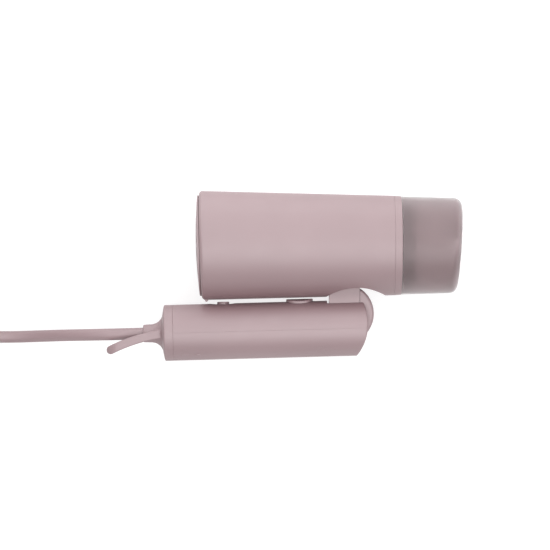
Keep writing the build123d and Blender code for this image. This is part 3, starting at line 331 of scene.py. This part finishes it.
def make_tie(material):
    """A hook-and-loop strap round the coil, with its end lapped over itself on top."""
    centre_x, centre_y = coil_centre()
    low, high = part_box("coil_tie")
    outward = Vector(((low.x + high.x) / 2 - centre_x, (low.y + high.y) / 2 - centre_y, 0)).normalized()
    sideways = Vector((-outward.y, outward.x, 0))
    middle = Vector((centre_x, centre_y, 0))
    floor_z = cord_route[-1][2]
    cord_radius = cord_diameter / 2
    outline = strap_outline(
        inner_turn_radius - cord_radius - tie_slack,
        outer_turn_radius + cord_radius + tie_slack,
        floor_z - cord_radius - tie_slack,
        floor_z + 3 * cord_radius + tie_slack,
        cord_radius,
    )
    shape = bmesh.new()

    def add_band(run, inner, outer, half_width, closed):
        """A flat band along a run of the outline, between two distances out from it."""
        rings = []
        for distance, height, out_r, out_z in run:
            ring = []
            for reach, side in ((inner, -1), (outer, -1), (outer, 1), (inner, 1)):
                place = middle + outward * (distance + out_r * reach)
                place += sideways * (side * half_width)
                ring.append(shape.verts.new((place.x, place.y, height + out_z * reach)))
            rings.append(ring)
        following = rings[1:] + rings[:1] if closed else rings[1:]
        for one, other in zip(rings, following):
            for corner in range(4):
                after = (corner + 1) % 4
                shape.faces.new((one[corner], one[after], other[after], other[corner]))
        if not closed:
            shape.faces.new(tuple(reversed(rings[0])))
            shape.faces.new(tuple(rings[-1]))

    add_band(outline, 0.0, tie_thickness, tie_width / 2, True)
    top_start = outline[tie_corner_steps]
    lap_length = top_start[0] - tie_overlap
    lap = [*outline[3:tie_corner_steps + 1], (lap_length, top_start[1], 0.0, 1.0)]
    add_band(lap, tie_thickness, 2 * tie_thickness, tie_width / 2 - tie_lap_inset, False)
    bmesh.ops.recalc_face_normals(shape, faces=shape.faces)
    mesh = bpy.data.meshes.new("strap_tie")
    shape.to_mesh(mesh)
    shape.free()
    tie = bpy.data.objects.new("strap_tie", mesh)
    bpy.context.scene.collection.objects.link(tie)
    mesh.materials.append(material)
    rounding = tie.modifiers.new("rounding", "BEVEL")
    rounding.width = tie_rounding
    rounding.segments = 2
    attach(tie, "handle")
    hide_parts("coil_tie")
    return tie


# ---------------------------------------------------------------- material making
def new_material(name):
    """An empty node material and its Principled shader."""
    material = bpy.data.materials.new(name)
    material.use_nodes = True
    tree = material.node_tree
    shader = tree.nodes["Principled BSDF"]
    return material, tree, shader


def noise(tree, scale, detail=3.0, roughness=0.5):
    """Noise in the object's own metres."""
    place = tree.nodes.new("ShaderNodeTexCoord")
    texture = tree.nodes.new("ShaderNodeTexNoise")
    texture.inputs["Scale"].default_value = scale
    texture.inputs["Detail"].default_value = detail
    texture.inputs["Roughness"].default_value = roughness
    tree.links.new(place.outputs["Object"], texture.inputs["Vector"])
    return texture.outputs["Fac"]


def spread_over(tree, value, low, high):
    """Maps noise's middle range to low..high."""
    mapped = tree.nodes.new("ShaderNodeMapRange")
    mapped.inputs["From Min"].default_value = 0.3
    mapped.inputs["From Max"].default_value = 0.7
    mapped.inputs["To Min"].default_value = low
    mapped.inputs["To Max"].default_value = high
    tree.links.new(value, mapped.inputs["Value"])
    return mapped.outputs["Result"]


def mixed(tree, share, one, other):
    """A colour between two, by a share from 0 to 1."""
    mix = tree.nodes.new("ShaderNodeMix")
    mix.data_type = "RGBA"
    mix.inputs["A"].default_value = (*one, 1)
    mix.inputs["B"].default_value = (*other, 1)
    tree.links.new(share, mix.inputs["Factor"])
    return mix.outputs["Result"]


def shaded(colour, factor):
    """A colour made lighter or darker."""
    return tuple(min(1.0, channel * factor) for channel in colour)


def bumped(tree, shader, height, distance, rounding=0.0):
    """Feeds a height to the shader's normal, over edges rounded by a small radius."""
    bump = tree.nodes.new("ShaderNodeBump")
    bump.inputs["Strength"].default_value = 1.0
    bump.inputs["Distance"].default_value = distance
    tree.links.new(height, bump.inputs["Height"])
    if rounding:
        bevel = tree.nodes.new("ShaderNodeBevel")
        bevel.samples = 6
        bevel.inputs["Radius"].default_value = rounding
        tree.links.new(bevel.outputs["Normal"], bump.inputs["Normal"])
    tree.links.new(bump.outputs["Normal"], shader.inputs["Normal"])


def edge_share(tree, facing_share, edge_on_share):
    """Goes from one share where the surface faces the eye to another where it is seen edge-on."""
    weight = tree.nodes.new("ShaderNodeLayerWeight")
    weight.inputs["Blend"].default_value = 0.5
    mapped = tree.nodes.new("ShaderNodeMapRange")
    mapped.inputs["From Min"].default_value = 0.25
    mapped.inputs["From Max"].default_value = 0.75
    mapped.inputs["To Min"].default_value = facing_share
    mapped.inputs["To Max"].default_value = edge_on_share
    tree.links.new(weight.outputs["Facing"], mapped.inputs["Value"])
    return mapped.outputs["Result"]


def moulded(name, colour, roughness, grain=2600.0, depth=0.00002, coat=0.0, blotch=0.03):
    """Moulded plastic: a fine spark texture, faint flow marks in colour and gloss."""
    material, tree, shader = new_material(name)
    flow = spread_over(tree, noise(tree, 28.0, 2.0), 0.0, 1.0)
    tone = mixed(tree, flow, shaded(colour, 1 - blotch), shaded(colour, 1 + blotch))
    tree.links.new(tone, shader.inputs["Base Color"])
    gloss = spread_over(tree, noise(tree, 90.0, 4.0), roughness - 0.03, roughness + 0.04)
    tree.links.new(gloss, shader.inputs["Roughness"])
    bumped(tree, shader, noise(tree, grain, 2.0, 0.6), depth, 0.0003)
    if coat:
        shader.inputs["Specular IOR Level"].default_value = 0.7
        tree.links.new(edge_share(tree, coat, 0.35 * coat), shader.inputs["Coat Weight"])
        shader.inputs["Coat Roughness"].default_value = 0.62
        shader.inputs["Coat IOR"].default_value = 2.1
        shader.inputs["Sheen Weight"].default_value = 0.12
        shader.inputs["Sheen Roughness"].default_value = 0.3
    return material


def metal(name, colour, roughness):
    """Metal with a fine grain in its tone and gloss."""
    material, tree, shader = new_material(name)
    marks = noise(tree, 1800.0, 3.0, 0.6)
    shader.inputs["Metallic"].default_value = 1.0
    tone = spread_over(tree, marks, 0.0, 1.0)
    tree.links.new(mixed(tree, tone, shaded(colour, 0.92), colour), shader.inputs["Base Color"])
    tree.links.new(spread_over(tree, marks, roughness - 0.06, roughness + 0.1), shader.inputs["Roughness"])
    bumped(tree, shader, marks, 0.00001, 0.0002)
    return material


def woven(name, colour, pitch):
    """Coarse webbing: ribs both ways, with fuzz, and painted shade in the weave's hollows."""
    material, tree, shader = new_material(name)
    place = tree.nodes.new("ShaderNodeTexCoord")
    heights = []
    for direction in ("DIAGONAL", "Z"):
        wave = tree.nodes.new("ShaderNodeTexWave")
        wave.bands_direction = direction
        wave.inputs["Scale"].default_value = 0.32 / pitch
        wave.inputs["Distortion"].default_value = 0.6
        wave.inputs["Detail"].default_value = 2.0
        tree.links.new(place.outputs["Object"], wave.inputs["Vector"])
        heights.append(wave.outputs["Fac"])
    cross = tree.nodes.new("ShaderNodeMath")
    cross.operation = "MULTIPLY"
    tree.links.new(heights[0], cross.inputs[0])
    tree.links.new(heights[1], cross.inputs[1])
    weave_height_and_shade = cross.outputs["Value"]
    # The colour follows the weave's height: painted shade in the weave's hollows and a painted highlight on
    # its ribs.
    tree.links.new(mixed(tree, weave_height_and_shade, shaded(colour, 0.7), shaded(colour, 1.25)), shader.inputs["Base Color"])
    shader.inputs["Roughness"].default_value = 0.9
    shader.inputs["Sheen Weight"].default_value = 0.4
    shader.inputs["Sheen Roughness"].default_value = 0.5
    bumped(tree, shader, weave_height_and_shade, 0.0002)
    return material


# ---------------------------------------------------------------- materials
pink = (0.276, 0.168, 0.182)


def paint_nodes():
    """Gives each CAD node that stays in view its material."""
    shell = moulded("satin_pink_shell", pink, 0.55, coat=1.0)
    rubber = moulded("soft_pink_rubber", pink, 0.6, grain=1800.0, depth=0.00003, coat=1.0)
    dark = moulded("black_nylon", (0.035, 0.034, 0.036), 0.45)
    duct = moulded("ivory_duct", (0.70, 0.68, 0.64), 0.5)
    mica = moulded(
        "pressed_mica", (0.62, 0.55, 0.42), 0.35, grain=500.0, depth=0.00004, blotch=0.12
    )
    steel = metal("plain_steel", (0.62, 0.62, 0.63), 0.32)
    brass = metal("plain_brass", (0.78, 0.60, 0.30), 0.3)
    nickel = metal("nickel_plate", (0.80, 0.78, 0.74), 0.18)
    board = moulded("circuit_board", (0.03, 0.20, 0.09), 0.3, blotch=0.1)
    wire = moulded("blue_wire", (0.05, 0.12, 0.45), 0.4)
    tie = woven("woven_tie", (0.16, 0.125, 0.130), 0.0009)
    by_slot = {
        "pink_shell": shell,
        "pink_rubber": rubber,
        "pink_cord": rubber,
        "tie_fabric": tie,
        "nickel_brass": nickel,
        "frosted_plastic": frosted_plastic(),
        "dark_plastic": dark,
        "duct_plastic": duct,
        "mica": mica,
        "steel": steel,
        "brass": brass,
        "board": board,
        "wire": wire,
    }
    for subpart in frame["record"]["subparts"]:
        data = nodes[subpart["node"]].data
        data.materials.clear()
        data.materials.append(by_slot[subpart["material_slot"]])
    return by_slot


def frosted_plastic():
    """Smoke-pink plastic that light passes through, with a frosted surface."""
    material, tree, shader = new_material("frosted_smoke_pink")
    flow = spread_over(tree, noise(tree, 40.0, 2.0), 0.0, 1.0)
    colour = (0.550, 0.450, 0.463)
    tone = mixed(tree, flow, shaded(colour, 0.97), shaded(colour, 1.03))
    tree.links.new(tone, shader.inputs["Base Color"])
    tree.links.new(spread_over(tree, noise(tree, 120.0), 0.38, 0.46), shader.inputs["Roughness"])
    shader.inputs["Transmission Weight"].default_value = 0.8
    shader.inputs["IOR"].default_value = 1.4
    shader.inputs["Sheen Weight"].default_value = 0.9
    shader.inputs["Sheen Roughness"].default_value = 0.28
    bumped(tree, shader, noise(tree, 3000.0, 2.0), 0.00001, 0.0003)
    return material


# ---------------------------------------------------------------- floor and light
def make_floor():
    """A white floor, wide enough for every view. It glows, and glows more beyond the barrel: painted light
    that fills in shadows and lightens the barrel's far edge.
    """
    mesh = bpy.data.meshes.new("floor")
    shape = bmesh.new()
    bmesh.ops.create_grid(shape, x_segments=1, y_segments=1, size=6.0)
    shape.to_mesh(mesh)
    shape.free()
    floor = bpy.data.objects.new("floor", mesh)
    bpy.context.scene.collection.objects.link(floor)
    material, tree, shader = new_material("glowing_white_floor")
    shader.inputs["Base Color"].default_value = (0.34, 0.34, 0.34, 1)
    shader.inputs["Roughness"].default_value = 0.9
    shader.inputs["Specular IOR Level"].default_value = 0.1
    shader.inputs["Emission Color"].default_value = (1, 1, 1, 1)
    # The floor's glow is painted light. It is stronger beyond the barrel, to lighten the barrel's far edge.
    place = tree.nodes.new("ShaderNodeTexCoord")
    parts = tree.nodes.new("ShaderNodeSeparateXYZ")
    glow = tree.nodes.new("ShaderNodeMapRange")
    glow.inputs["From Min"].default_value = floor_glow_from_y
    glow.inputs["From Max"].default_value = floor_glow_to_y
    glow.inputs["To Min"].default_value = floor_glow
    glow.inputs["To Max"].default_value = floor_glow_beyond
    tree.links.new(place.outputs["Object"], parts.inputs["Vector"])
    tree.links.new(parts.outputs["Y"], glow.inputs["Value"])
    tree.links.new(glow.outputs["Result"], shader.inputs["Emission Strength"])
    mesh.materials.append(material)


def area_light(name, place, target, size, power):
    """A square white softbox that faces its target."""
    light = bpy.data.objects.new(name, bpy.data.lights.new(name, "AREA"))
    light.data.size = size
    light.data.energy = power
    light.location = place
    light.rotation_euler = (Vector(target) - Vector(place)).to_track_quat("-Z", "Y").to_euler()
    bpy.context.scene.collection.objects.link(light)


def make_light():
    """Three soft lights, and a pale surround that is darker on the handle's side."""
    middle = (-0.04, -0.02, 0.03)
    area_light("key", (-0.04, 0.80, 1.10), middle, 0.9, 5.2)
    area_light("side", (-0.04, 1.30, 0.40), middle, 0.8, 2.4)
    area_light("overhead", (0.10, -0.42, 1.50), middle, 1.2, 15.0)
    world = bpy.data.worlds.new("surround")
    bpy.context.scene.world = world
    world.use_nodes = True
    tree = world.node_tree
    background = tree.nodes["Background"]
    background.inputs["Color"].default_value = (1, 1, 1, 1)
    place = tree.nodes.new("ShaderNodeTexCoord")
    parts = tree.nodes.new("ShaderNodeSeparateXYZ")
    fade = tree.nodes.new("ShaderNodeMapRange")
    fade.inputs["From Min"].default_value = surround_dark_y
    fade.inputs["From Max"].default_value = surround_light_y
    fade.inputs["To Min"].default_value = surround_dark
    fade.inputs["To Max"].default_value = surround_light
    tree.links.new(place.outputs["Generated"], parts.inputs["Vector"])
    tree.links.new(parts.outputs["Y"], fade.inputs["Value"])
    tree.links.new(fade.outputs["Result"], background.inputs["Strength"])
    bpy.context.scene.view_settings.view_transform = "Standard"


materials = paint_nodes()
make_filter(materials["steel"])
make_heater(materials["steel"])
make_relief(materials["pink_rubber"])
make_cord(materials["pink_cord"], make_tie(materials["tie_fabric"]))
make_floor()
make_light()
